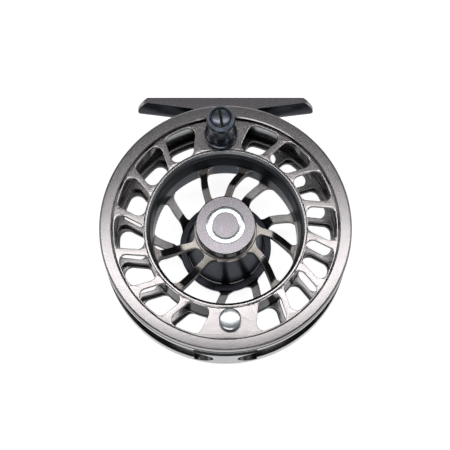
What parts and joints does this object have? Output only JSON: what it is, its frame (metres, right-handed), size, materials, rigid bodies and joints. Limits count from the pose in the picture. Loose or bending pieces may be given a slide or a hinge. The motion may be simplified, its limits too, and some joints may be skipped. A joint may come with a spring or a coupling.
{
  "type": "fly reel",
  "caption": "Large-arbor fly reel: full frame with rod foot, windowed spool with handle and counterweight, sealed conical drag with rear knob.",
  "frame": {"origin": "centre of the drag knob's flat back face, on the spool axis", "axes": "+Z along the spool axis towards the handle side, +Y towards the rod foot, +X along the rod foot"},
  "size_m": [0.0864, 0.0919, 0.0583],
  "materials": {
    "frame_gunmetal": "bead-blasted gunmetal anodising",
    "foot_dark": "dark satin anodising",
    "spool_gunmetal": "bead-blasted gunmetal anodising, bright machined edges",
    "arbor_gloss": "gloss dark anodising",
    "arms_champagne": "fine machined",
    "black_gloss": "gloss black",
    "handle_black": "turned, polished",
    "knob_dark": "satin anodising",
    "cap_satin": "bead-blasted with a polished ring",
    "polished_steel": "polished",
    "steel": "turned",
    "spring_steel": "plain",
    "carbon": "matte carbon composite",
    "acetal": "smooth natural acetal",
    "brass": "turned",
    "rubber": "smooth",
    "index_white": "paint fill"
  },
  "bodies": {
    "frame": {"frame_front_ring": "frame_gunmetal", "foot_pillar": "frame_gunmetal", "frame_pillars": "frame_gunmetal", "frame_rear_ring": "frame_gunmetal", "frame_rear_plate": "frame_gunmetal", "frame_rear_arms": "frame_gunmetal", "frame_hub": "frame_gunmetal", "reel_foot": "foot_dark", "foot_screws": "steel", "drag_housing": "black_gloss", "housing_screws": "steel", "spindle": "steel", "drag_cone": "carbon", "roller_clutch": "steel", "drag_springs": "spring_steel", "drag_pusher": "steel", "thrust_washer": "acetal", "shaft_seal": "rubber", "detent_spring": "spring_steel", "detent_ball": "polished_steel"},
    "drag_dial": {"drag_knob": "knob_dark", "knob_insert": "brass", "knob_index": "index_white"},
    "drive": {"drive_hub": "steel", "hub_bearings": "steel"},
    "spool": {"spool_front_flange": "spool_gunmetal", "spool_arbor": "arbor_gloss", "spool_rear_flange": "spool_gunmetal", "spool_arms": "arms_champagne", "spool_collar": "arms_champagne", "hub_bush": "acetal", "hub_cap": "cap_satin", "cap_seal": "rubber", "counterweight": "polished_steel", "flange_screws": "steel", "handle_post": "steel", "handle_washer": "acetal", "handle_cap_screw": "handle_black"},
    "handle": {"handle_grip": "handle_black", "handle_bushes": "brass"}
  },
  "joints": [
    {"name": "spool_spin", "type": "hinge", "parent": "frame", "child": "drive", "pos_m": [0, 0, 0.02], "axis": [0, 0, 1], "continuous": true},
    {"name": "spool_release", "type": "slide", "parent": "drive", "child": "spool", "axis": [0, 0, 1], "range_m": [0, 0.045]},
    {"name": "handle_spin", "type": "hinge", "parent": "spool", "child": "handle", "pos_m": [-0.00158, 0.03296, 0.045], "axis": [0, 0, 1], "continuous": true},
    {"name": "drag_turn", "type": "hinge", "parent": "frame", "child": "drag_dial", "pos_m": [0, 0, 0.003], "axis": [0, 0, -1], "range_deg": [0, 330]}
  ]
}
